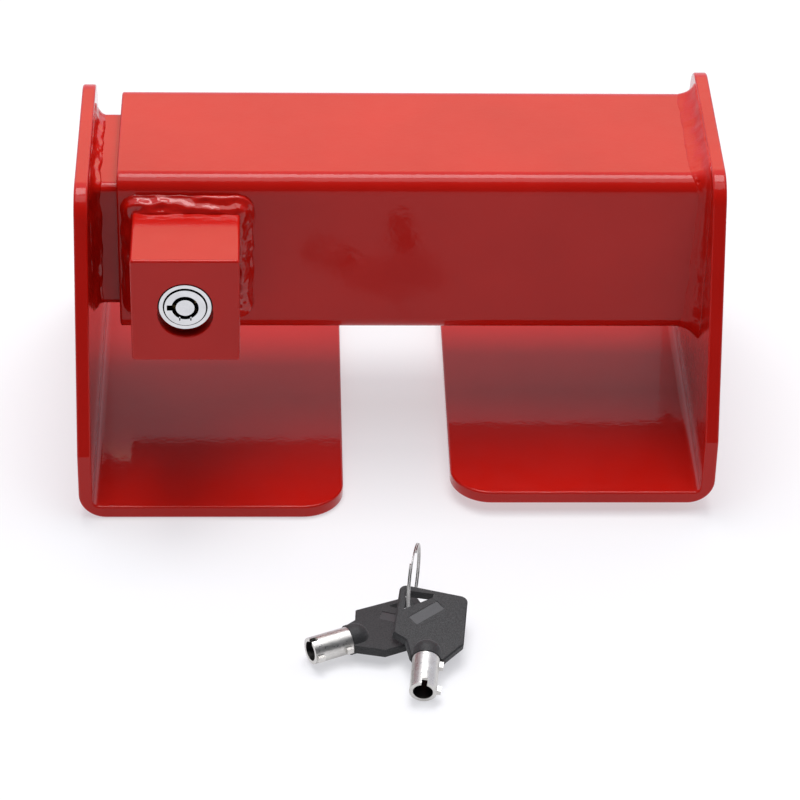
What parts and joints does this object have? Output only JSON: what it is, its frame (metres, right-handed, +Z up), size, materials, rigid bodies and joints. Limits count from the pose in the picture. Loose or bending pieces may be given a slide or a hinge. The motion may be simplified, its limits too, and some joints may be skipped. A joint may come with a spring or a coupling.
{
  "type": "trailer coupler lock",
  "caption": "Red steel trailer coupler lock: telescoping square tubes with bent L-plates, a round-key push lock in a welded block, and two keys on a split ring.",
  "frame": {"origin": "middle of the bounding box's footprint, at the height of the lowest flange's underside", "axes": "+X along the tubes from the sliding end to the fixed end, +Y from the lock's face to the back, +Z up"},
  "size_m": [0.2242, 0.2464, 0.1184],
  "materials": {
    "red_paint": "gloss powder coat",
    "chrome": "polished",
    "nickel": "nickel plated, finely turned",
    "steel": "zinc plated",
    "spring_steel": "bright drawn",
    "brass": "turned",
    "black_plastic": "fine spark texture"
  },
  "bodies": {
    "outer_half": {"outer_tube": "red_paint", "right_bracket": "red_paint", "right_weld": "red_paint", "lock_block": "red_paint", "block_weld": "red_paint", "lock_sleeve": "chrome", "sleeve_pin": "steel"},
    "inner_half": {"inner_tube": "red_paint", "left_bracket": "red_paint", "left_weld": "red_paint"},
    "plunger": {"lock_barrel": "chrome", "driver_block": "brass", "driver_pins": "brass", "driver_springs": "spring_steel", "lock_bolt": "steel", "return_spring": "spring_steel"},
    "plug": {"lock_plug": "chrome", "key_pins": "brass", "locking_lug": "steel", "plug_clip": "spring_steel"},
    "key_ring": {"split_ring": "nickel"},
    "key_a": {"key_a_bow": "black_plastic", "key_a_tube": "nickel"},
    "key_b": {"key_b_bow": "black_plastic", "key_b_tube": "nickel"}
  },
  "joints": [
    {"name": "width_slide", "type": "slide", "parent": "outer_half", "child": "inner_half", "axis": [-1, 0, 0], "range_m": [0, 0.0889]},
    {"name": "lock_press", "type": "slide", "parent": "outer_half", "child": "plunger", "axis": [0, 1, 0], "range_m": [0, 0.008], "stiffness_N_per_m": 400, "springref_m": -0.006, "deforming": ["return_spring"]},
    {"name": "key_turn", "type": "hinge", "parent": "plunger", "child": "plug", "pos_m": [-0.0738, -0.01383, 0.084], "axis": [0, 1, 0], "range_deg": [0, 90]},
    {"name": "ring_lift", "type": "slide", "parent": "outer_half", "child": "key_ring", "axis": [0, 0, 1], "range_m": [0, 0.05]},
    {"name": "key_a_swing", "type": "hinge", "parent": "key_ring", "child": "key_a", "pos_m": [0.00294, -0.08035, 0.0045], "axis": [0, 0, 1], "range_deg": [-45, 4]},
    {"name": "key_b_swing", "type": "hinge", "parent": "key_ring", "child": "key_b", "pos_m": [0.00394, -0.08248, 0.0105], "axis": [0, 0, 1], "range_deg": [-4, 60]}
  ]
}
